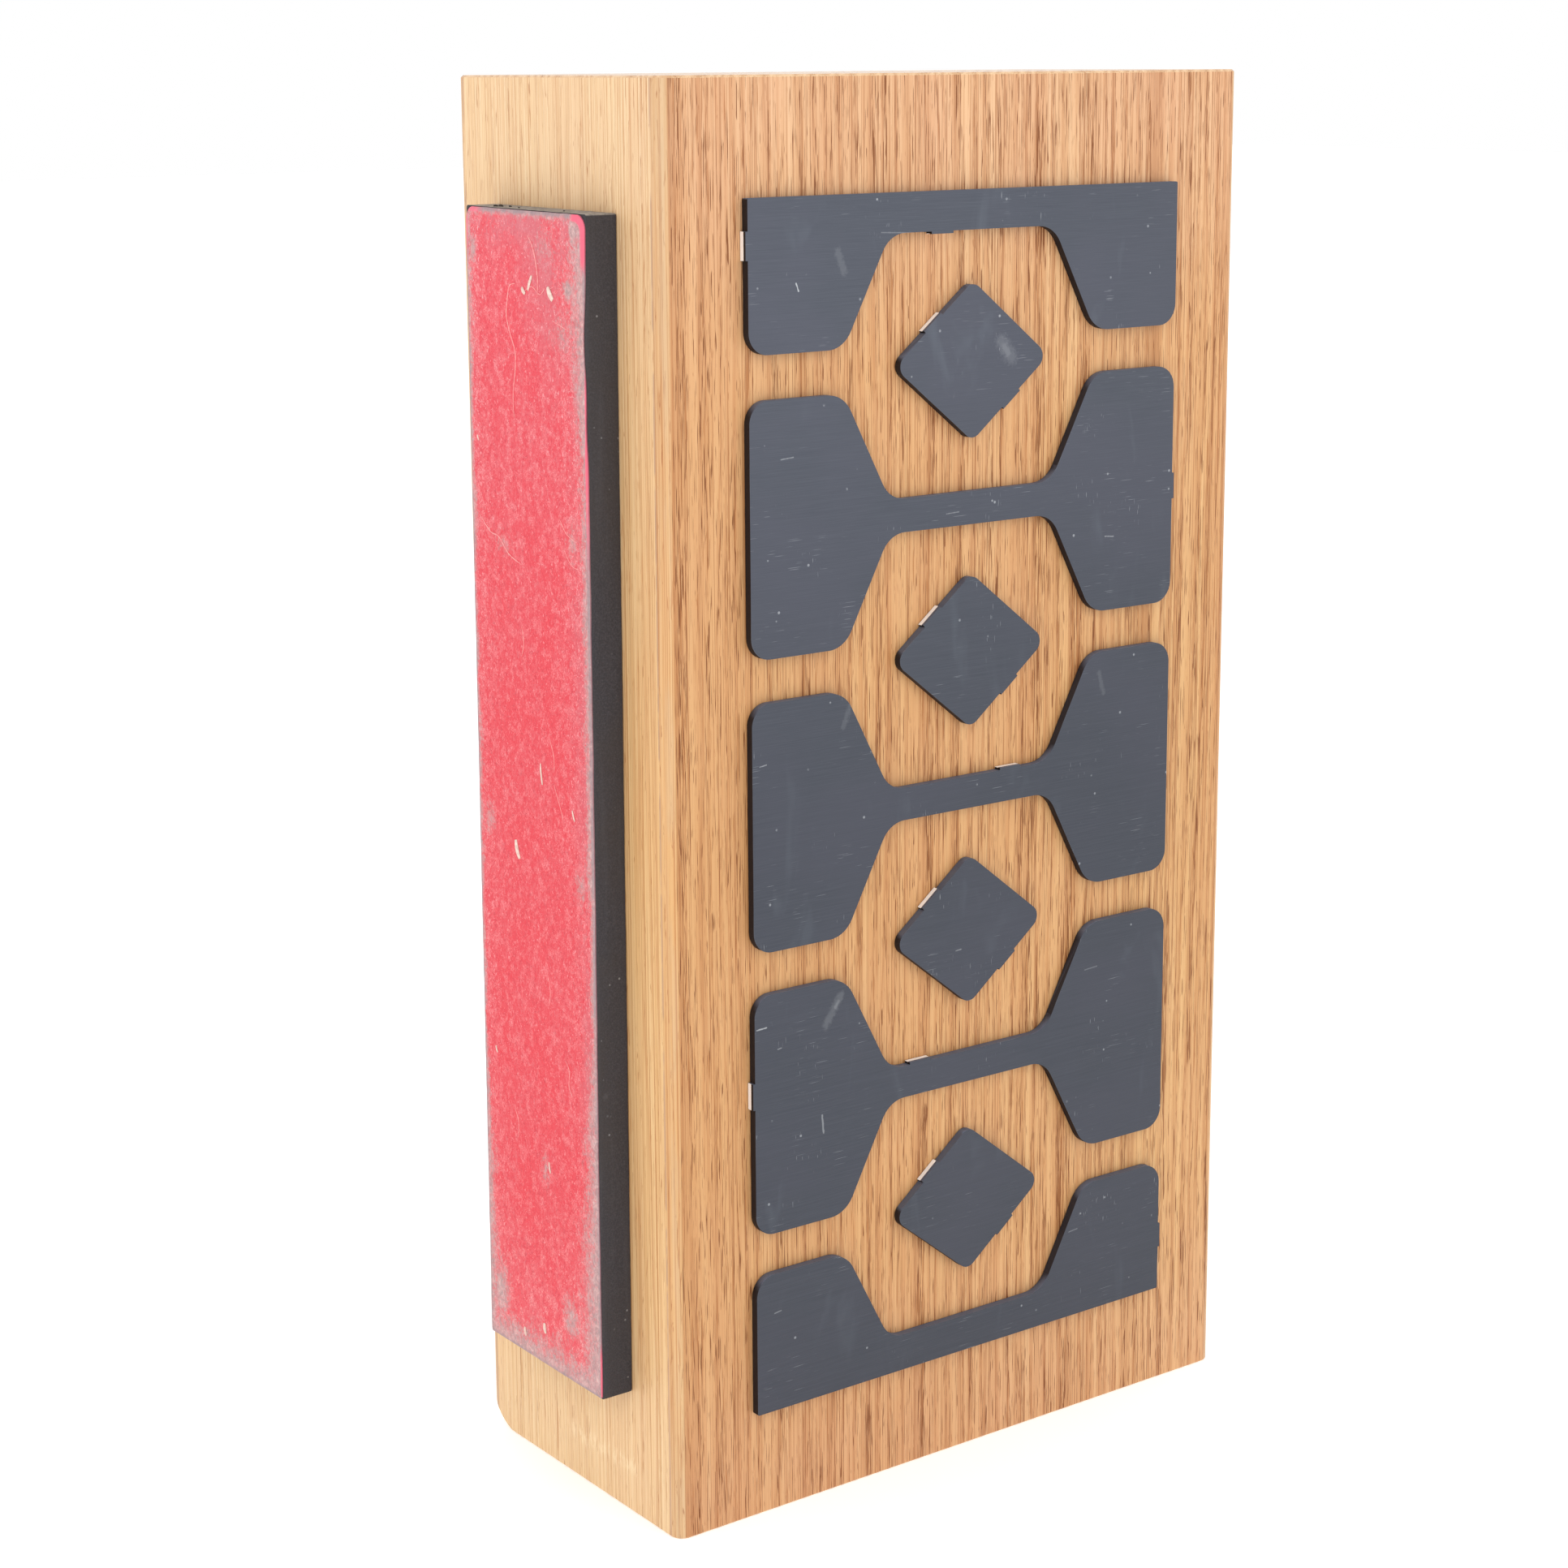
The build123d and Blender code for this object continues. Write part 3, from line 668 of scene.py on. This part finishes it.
# ---------------------------------------------------------------- CAD pieces
def soften(obj, width, segments=2, angle=35):
    w = obj.modifiers.new("weld", "WELD")
    w.merge_threshold = 2e-6
    b = obj.modifiers.new("edge", "BEVEL")
    b.width = width
    b.segments = segments
    b.limit_method = "ANGLE"
    b.angle_limit = math.radians(angle)
    b.harden_normals = True
    b.miter_outer = "MITER_ARC"


use(nodes["wood_block"], oak_material())
soften(nodes["wood_block"], 0.18 * MM, 2, 20)

Y_FACE = (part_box("plate_top")[0].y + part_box("plate_top")[1].y) / 2 * 1000


def tab_box(x, z, along_x, angle=0.0):
    """The outer end of a tab stub: a thin slab, 0.14 mm deep."""
    half = (2.41, 0.46, 0.09) if along_x else (0.09, 0.46, 2.41)
    return ((x, Y_FACE + 0.30, z), half, angle)


PX = -0.2
half_w = 48.25
tabs = {
    "plate_top": [tab_box(PX - half_w - 0.45, 226.3, False), tab_box(PX - 6.9, 227.25 - 0.45, True)],
    "plate_upper": [tab_box(PX + half_w + 0.45, 178.3, False)],
    "plate_middle": [tab_box(PX + 9.4, 127.0 + 2.95 + 0.45, True)],
    "plate_lower": [tab_box(PX - half_w - 0.45, 79.4, False), tab_box(PX - 11.4, 75.4 + 2.95 + 0.45, True)],
    "plate_bottom": [tab_box(PX + half_w + 0.45, 30.8, False)],
}
for i, (name, bare) in enumerate(tabs.items()):
    use(nodes[name], plate_material("anodised_" + name, i + 1, bare, NAMED_MARKS.get(name, ())))
    soften(nodes[name], 0.10 * MM)

slant = math.atan2(14.0, 17.5)
for i, name in enumerate(("diamond_top", "diamond_upper", "diamond_lower", "diamond_bottom")):
    lo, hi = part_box(name)
    cz = (lo.z + hi.z) / 2 * 1000
    # middle of the upper left and lower right sides, moved out by the stub's height
    nxv, nzv = -math.sin(slant), math.cos(slant)
    bare = []
    for sgn in (1, -1):
        cx = PX + sgn * (-17.5 / 2 + nxv * 0.45)
        zz = cz + sgn * (14.0 / 2 + nzv * 0.45)
        bare.append(tab_box(cx, zz, True, math.degrees(slant)))
    use(nodes[name], plate_material("anodised_" + name, i + 11, bare, NAMED_MARKS.get(name, ())))
    soften(nodes[name], 0.10 * MM)

film = film_material()
for n in nodes:
    if n.startswith("film_") or n == "pad_adhesive":
        use(nodes[n], film)


# ---------------------------------------------------------------- foam strip
def new_obj(name, bm, mat, smooth=True):
    me = bpy.data.meshes.new(name)
    bmesh.ops.recalc_face_normals(bm, faces=bm.faces)
    bm.to_mesh(me)
    bm.free()
    for p in me.polygons:
        p.use_smooth = smooth
    me.materials.append(mat)
    o = bpy.data.objects.new(name, me)
    bpy.context.scene.collection.objects.link(o)
    return o


def n3(x, y, z):
    return noise.noise(Vector((x, y, z)))


foam_lo, foam_hi = foam_lo * 1000, foam_hi * 1000


def edge_pull(z):
    """How far the front edge of the facing has crept in at height z, in mm."""
    g = math.exp(-((z - 210.0) / 7.5) ** 2) * 0.75
    g += math.exp(-((z - 197.0) / 5.0) ** 2) * 0.30
    g += math.exp(-((z - 60.0) / 40.0) ** 2) * 0.25
    return g + 0.12 * (n3(0.0, 3.0, z * 0.11) + 0.5) + 0.05 * (n3(1.0, 7.0, z * 0.6) + 0.5)


def build_foam():
    x_in, x_out = foam_hi.x, foam_lo.x            # wood side, facing side
    y0, y1 = FYC - PAD_W / 2, FYC + PAD_W / 2
    z0, z1 = FZC - PAD_LEN / 2, FZC + PAD_LEN / 2
    nx, ny, nz = 8, 30, 190
    r = 0.35

    def section(inset):
        """Closed loop of (x, y): a rounded rectangle, run in even steps along each side."""
        pts = []
        xa, xb, ya, yb = x_in, x_out, y0 + inset, y1 - inset
        for i in range(nx + 1):
            pts.append((xa + (xb - xa) * i / nx, ya, 0))
        for i in range(1, ny + 1):
            pts.append((xb, ya + (yb - ya) * i / ny, 1))
        for i in range(1, nx + 1):
            pts.append((xb + (xa - xb) * i / nx, yb, 2))
        for i in range(1, ny):
            pts.append((xa, yb + (ya - yb) * i / ny, 3))
        return pts

    bm = bmesh.new()
    rings = []
    zs = [0, 0.06, 0.2, 0.45, 0.9] + [0.9 + (z1 - z0 - 1.8) * i / nz for i in range(1, nz)] + \
         [z1 - z0 - t for t in (0.9, 0.45, 0.2, 0.06, 0)]
    for dz in zs:
        z = z0 + dz
        e = min(dz, z1 - z0 - dz)
        inset = 0.30 * (1 - min(1.0, e / 0.35)) ** 2
        ring = []
        for x, y, side in section(inset):
            t = (x_in - x) / (x_in - x_out)        # 0 at the wood, 1 at the facing
            belly = math.sin(math.pi * min(max(t, 0), 1))
            yy = y
            if abs(y - (y0 + inset)) < 1e-6:       # front side
                yy += 0.10 * (1 - belly) * 0.6 + 0.10 * n3(x * 0.3, 1, z * 0.07) + 0.05 * n3(x * 0.9, 2, z * 0.4)
                yy += 0.45 * edge_pull(z) * t ** 3
            elif abs(y - (y1 - inset)) < 1e-6:
                yy -= 0.10 * (1 - belly) * 0.6 - 0.10 * n3(x * 0.3, 5, z * 0.07) - 0.05 * n3(x * 0.9, 6, z * 0.4)
            xx = x
            if side == 1:
                xx += 0.02
            zz = z
            if dz == 0 or dz == zs[-1]:
                zz += 0.05 * n3(x * 0.8, y * 0.5, 3)
            ring.append(bm.verts.new((xx * MM, yy * MM, zz * MM)))
        rings.append(ring)
    n = len(rings[0])
    for a, b in zip(rings, rings[1:]):
        for i in range(n):
            bm.faces.new((a[i], a[(i + 1) % n], b[(i + 1) % n], b[i]))
    # the ends: grids that share the rings' points
    for ring in (rings[0], rings[-1]):
        zz = ring[0].co.z
        front = ring[:nx + 1]
        outer = ring[nx:nx + ny + 1]
        back = ring[nx + ny:nx + ny + nx + 1][::-1]
        inner = [ring[0]] + ring[nx + ny + nx:][::-1][:ny - 1] + [ring[nx + ny + nx]]
        grid = [front]
        for j in range(1, ny):
            row = [inner[j]]
            for i in range(1, nx):
                t = i / nx
                a, b = inner[j].co, outer[j].co
                p = a.lerp(b, t)
                p.z = zz + 0.10 * MM * n3(p.x * 900, p.y * 500, 9)
                row.append(bm.verts.new(p))
            row.append(outer[j])
            grid.append(row)
        grid.append(back)
        for ra, rb in zip(grid, grid[1:]):
            for i in range(nx):
                bm.faces.new((ra[i], ra[i + 1], rb[i + 1], rb[i]))
    o = new_obj("foam_body", bm, foam_material())
    bev = o.modifiers.new("edge", "BEVEL")
    bev.width = 0.12 * MM
    bev.segments = 2
    bev.limit_method = "ANGLE"
    bev.angle_limit = math.radians(50)
    lean(o)
    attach(o, "root")
    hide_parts("foam_pad")
    return o


build_foam()


# ---------------------------------------------------------------- red facing
def build_facing():
    xi, xo = face_hi.x * 1000, face_lo.x * 1000      # foam side, outer side
    rt, rb = 2.4, 0.6
    FW = FY1 - FY0
    rows = []
    nb = 10
    for i in range(nb + 1):                          # lower corners
        a = math.pi / 2 * i / nb
        rows.append((FZ0 + rb * (1 - math.cos(a)), rb * (1 - math.sin(a))))
    n_mid = 150
    za, zb = FZ0 + rb, FZ1 - rt
    for i in range(1, n_mid):
        rows.append((za + (zb - za) * i / n_mid, 0.0))
    nt = 14
    for i in range(nt + 1):
        a = math.pi / 2 * i / nt
        rows.append((FZ1 - rt * (1 - math.sin(a)), rt * (1 - math.cos(a))))
    # columns across the strip: close together near the edges for the rolled edge
    cols = [0.0, 0.12, 0.30, 0.6, 1.1]
    mid = [1.1 + (FW - 2.2) * i / 26 for i in range(1, 26)]
    cols = cols + mid + [FW - c for c in reversed(cols)]
    total = FW
    bm = bmesh.new()
    outer, inner = [], []
    last = len(rows) - 1
    for k, (z, ins) in enumerate(rows):
        pull_f = edge_pull(z) + ins
        pull_b = 0.10 * (n3(5.0, 3.0, z * 0.12) + 0.5) + ins
        ya, yb = FY0 + pull_f, FY1 - pull_b
        endgap = min(z - FZ0, FZ1 - z)
        ro, ri = [], []
        for c in cols:
            t = c / total
            y = ya + (yb - ya) * t
            d = min(c, total - c, endgap + 0.0)
            roll = 0.20 * (1 - min(1.0, d / 0.45)) ** 2
            relief = 0.05 * n3(y * 0.10, 2.0, z * 0.06) + 0.035 * n3(y * 0.45, 8.0, z * 0.25)
            relief += 0.018 * n3(y * 1.3, 4.0, z * 0.8)
            zz = z
            if k == 0:
                zz += 0.10 * (n3(y * 0.35, 1.0, 0.0) + 0.4)
            if k == last:
                zz -= 0.10 * (n3(y * 0.35, 6.0, 0.0) + 0.4)
            ro.append(bm.verts.new(((xo + 0.09 + roll + relief) * MM, y * MM, zz * MM)))
            ri.append(bm.verts.new((xi * MM, y * MM, zz * MM)))
        outer.append(ro)
        inner.append(ri)
    m = len(cols)
    for a, b in zip(outer, outer[1:]):
        for i in range(m - 1):
            bm.faces.new((a[i], a[i + 1], b[i + 1], b[i]))
    for a, b in zip(inner, inner[1:]):
        for i in range(m - 1):
            bm.faces.new((b[i], b[i + 1], a[i + 1], a[i]))
    for i in range(m - 1):
        bm.faces.new((outer[0][i + 1], outer[0][i], inner[0][i], inner[0][i + 1]))
        bm.faces.new((outer[-1][i], outer[-1][i + 1], inner[-1][i + 1], inner[-1][i]))
    for a, b, c, d in zip(outer, outer[1:], inner, inner[1:]):
        bm.faces.new((a[0], b[0], d[0], c[0]))
        bm.faces.new((b[-1], a[-1], c[-1], d[-1]))
    o = new_obj("facing_skin", bm, facing_material())
    lean(o)
    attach(o, "root")
    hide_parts("pad_facing")
    return o


build_facing()

# ---------------------------------------------------------------- lint and crumbs
X_OUT = face_lo.x * 1000 + 0.09


def tube(bm, pts, radii, sides=6, flat=1.0):
    """A closed, tapered tube through pts (mm), flattened along X by flat."""
    rings = []
    for i, p in enumerate(pts):
        a = Vector(pts[max(i - 1, 0)])
        b = Vector(pts[min(i + 1, len(pts) - 1)])
        d = (b - a).normalized()
        u = Vector((1, 0, 0))
        u = (u - d * u.dot(d)).normalized()
        v = d.cross(u)
        ring = []
        for k in range(sides):
            th = 2 * math.pi * k / sides
            q = Vector(p) + (u * math.cos(th) * flat + v * math.sin(th)) * radii[i]
            ring.append(bm.verts.new(q * MM))
        rings.append(ring)
    for a, b in zip(rings, rings[1:]):
        for k in range(sides):
            bm.faces.new((a[k], a[(k + 1) % sides], b[(k + 1) % sides], b[k]))
    bm.faces.new(rings[0][::-1])
    bm.faces.new(rings[-1])


def catmull(pts, n=6):
    out = []
    P = [Vector(p) for p in pts]
    for i in range(len(P) - 1):
        p0, p1, p2, p3 = P[max(i - 1, 0)], P[i], P[i + 1], P[min(i + 2, len(P) - 1)]
        for k in range(n):
            t = k / n
            out.append(0.5 * ((2 * p1) + (p2 - p0) * t + (2 * p0 - 5 * p1 + 4 * p2 - p3) * t * t
                              + (3 * p1 - p0 - 3 * p2 + p3) * t ** 3))
    out.append(P[-1])
    return out


def build_lint():
    bm = bmesh.new()
    # husk-like chips: (y, z) of both ends, half width, all in mm
    chips = [
        ((6.9, 121.1), (5.7, 117.8), 0.56),
        ((-2.1, 221.0), (-0.8, 218.5), 0.36),
        ((-7.1, 219.4), (-8.6, 217.3), 0.62),
        ((1.1, 218.9), (0.2, 217.8), 0.42),
        ((-1.9, 136.6), (-2.4, 132.9), 0.26),
        ((-12.0, 130.2), (-12.7, 128.4), 0.22),
        ((0.4, 31.7), (0.1, 29.8), 0.48),
        ((7.3, 28.6), (6.9, 27.0), 0.40),
        ((-2.2, 63.4), (-2.6, 61.4), 0.24),
        ((15.3, 80.6), (14.8, 79.4), 0.24),
        ((16.9, 192.2), (16.5, 191.3), 0.18),
    ]
    for (ya, za), (yb, zb), w in chips:
        pts, rad = [], []
        for i in range(9):
            t = i / 8
            bend = 0.25 * w * math.sin(math.pi * t)
            pts.append((X_OUT - 0.02 - 0.10 * w * math.sin(math.pi * t),
                        ya + (yb - ya) * t + bend, za + (zb - za) * t))
            rad.append(w * (0.25 + 0.75 * math.sin(math.pi * (0.12 + 0.76 * t)) ** 0.6))
        tube(bm, pts, rad, 8, 0.28)
    o = new_obj("pad_lint", bm, lint_material())
    lean(o)
    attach(o, "root")
    return o


def build_fibres():
    """Loose hairs lying on the facing."""
    bm = bmesh.new()
    hairs = [
        [(-0.9, 227.8), (-2.3, 226.2), (-3.4, 223.6), (-4.0, 220.6), (-3.8, 217.6)],
        [(3.4, 219.4), (5.2, 218.8), (6.0, 216.0), (6.3, 213.6), (5.2, 210.8), (3.7, 207.8), (3.8, 204.6), (4.6, 200.6), (4.5, 196.6)],
        [(0.4, 218.2), (-2.0, 219.2), (-4.6, 218.0), (-6.2, 219.2)],
        [(-8.4, 213.9), (-10.6, 213.3), (-13.2, 212.6)],
        [(-6.2, 133.6), (-7.4, 131.4), (-9.0, 128.2)],
        [(-5.0, 141.8), (-6.3, 138.8), (-6.4, 136.0)],
        [(16.6, 178.1), (13.2, 175.6), (10.4, 175.0), (7.2, 172.4), (3.0, 171.0)],
        [(-9.5, 180.6), (-11.6, 178.3), (-14.8, 177.1)],
        [(-10.8, 175.4), (-13.0, 173.1), (-15.4, 172.6)],
        [(3.4, 160.2), (2.8, 157.2), (3.6, 154.8)],
        [(-3.0, 98.4), (-3.8, 95.6), (-3.2, 92.8)],
        [(9.2, 70.4), (7.9, 68.2), (8.2, 65.0)],
        [(-8.4, 84.1), (-9.6, 82.4), (-9.4, 79.6), (-10.6, 77.9)],
    ]
    for k, h in enumerate(hairs):
        pts = catmull([(X_OUT - 0.02, y, z) for y, z in h])
        n = len(pts)
        r0 = 0.13 if k in (0, 1, 6) else 0.085
        rad = [r0 * (0.35 + 0.65 * math.sin(math.pi * (0.06 + 0.88 * i / (n - 1)))) for i in range(n)]
        tube(bm, [tuple(p) for p in pts], rad, 6, 0.8)
    o = new_obj("pad_fibres", bm, fibre_material())
    lean(o)
    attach(o, "root")
    return o


def build_crumbs():
    bm = bmesh.new()
    z = FZC + PAD_LEN / 2
    spots = [(12.0, 0.42), (10.9, 0.34), (9.0, 0.26), (13.0, 0.28), (4.5, 0.18), (-9.0, 0.16)]
    for k, (y, r) in enumerate(spots):
        tmp = bmesh.new()
        bmesh.ops.create_icosphere(tmp, subdivisions=2, radius=r)
        for v in tmp.verts:
            c = v.co
            f = 1 + 0.55 * n3(c.x * 2 + k, c.y * 2, c.z * 2)
            v.co = Vector((foam_lo.x + 1.4 + 0.5 * k % 2 + c.x * f, y + c.y * f * 1.5, z + 0.12 + c.z * f * 0.45))
        vm = {v: bm.verts.new(v.co * MM) for v in tmp.verts}
        for f in tmp.faces:
            bm.faces.new([vm[v] for v in f.verts])
        tmp.free()
    o = new_obj("pad_crumbs", bm, crumb_material())
    lean(o)
    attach(o, "root")
    return o


build_lint()
build_fibres()
build_crumbs()

# ---------------------------------------------------------------- floor, light, camera
me = bpy.data.meshes.new("floor")
S = 6.0
me.from_pydata([(-S, -S, 0), (S, -S, 0), (S, S, 0), (-S, S, 0)], [], [(0, 1, 2, 3)])
floor = bpy.data.objects.new("floor", me)
bpy.context.scene.collection.objects.link(floor)
fm = Shader("pale_floor", rough=0.9, spec=0.1)
fm.color((0.95, 0.95, 0.95))
fm.bsdf.inputs["Emission Color"].default_value = (1.0, 1.0, 1.0, 1.0)
fm.bsdf.inputs["Emission Strength"].default_value = 0.30
use(floor, fm.mat)

world = bpy.data.worlds.new("studio")
bpy.context.scene.world = world
world.use_nodes = True
world.node_tree.nodes["Background"].inputs["Color"].default_value = (1.0, 1.0, 1.0, 1)
world.node_tree.nodes["Background"].inputs["Strength"].default_value = 1.0


def area(name, loc, target, size, power, color=(1, 1, 1)):
    d = bpy.data.lights.new(name, "AREA")
    d.shape = "RECTANGLE"
    d.size, d.size_y = size
    d.energy = power
    d.color = color
    o = bpy.data.objects.new(name, d)
    o.location = loc
    o.rotation_mode = "QUATERNION"
    o.rotation_quaternion = (Vector(target) - Vector(loc)).to_track_quat("-Z", "Y")
    bpy.context.scene.collection.objects.link(o)
    return o


area("key", (-1.1, -1.0, 1.5), (0, 0, 0.12), (1.4, 1.2), 5)
area("fill", (0.8, -1.3, 1.4), (0, 0, 0.12), (1.4, 1.2), 2.5)

cam_data = bpy.data.cameras.new("camera")
cam = bpy.data.objects.new("camera", cam_data)
bpy.context.scene.collection.objects.link(cam)
cam_data.sensor_width = 36.0
cam_data.sensor_fit = "HORIZONTAL"
cam_data.lens = 70.5972
cam_data.shift_x = 0.0
cam_data.shift_y = -0.0600
cam_data.clip_start = 0.01
cam_data.clip_end = 100
rot = Matrix((
    (0.80521800, 0.12491287, -0.57967296),
    (-0.59294223, 0.15874073, -0.78944341),
    (-0.00659393, 0.97938662, 0.20188701),
))
cam.rotation_mode = "QUATERNION"
cam.rotation_quaternion = rot.to_quaternion()
cam.location = (-0.34575909, -0.44754621, 0.25690984)
bpy.context.scene.camera = cam
bpy.context.scene.view_settings.view_transform = "Standard"

bpy.context.view_layer.update()
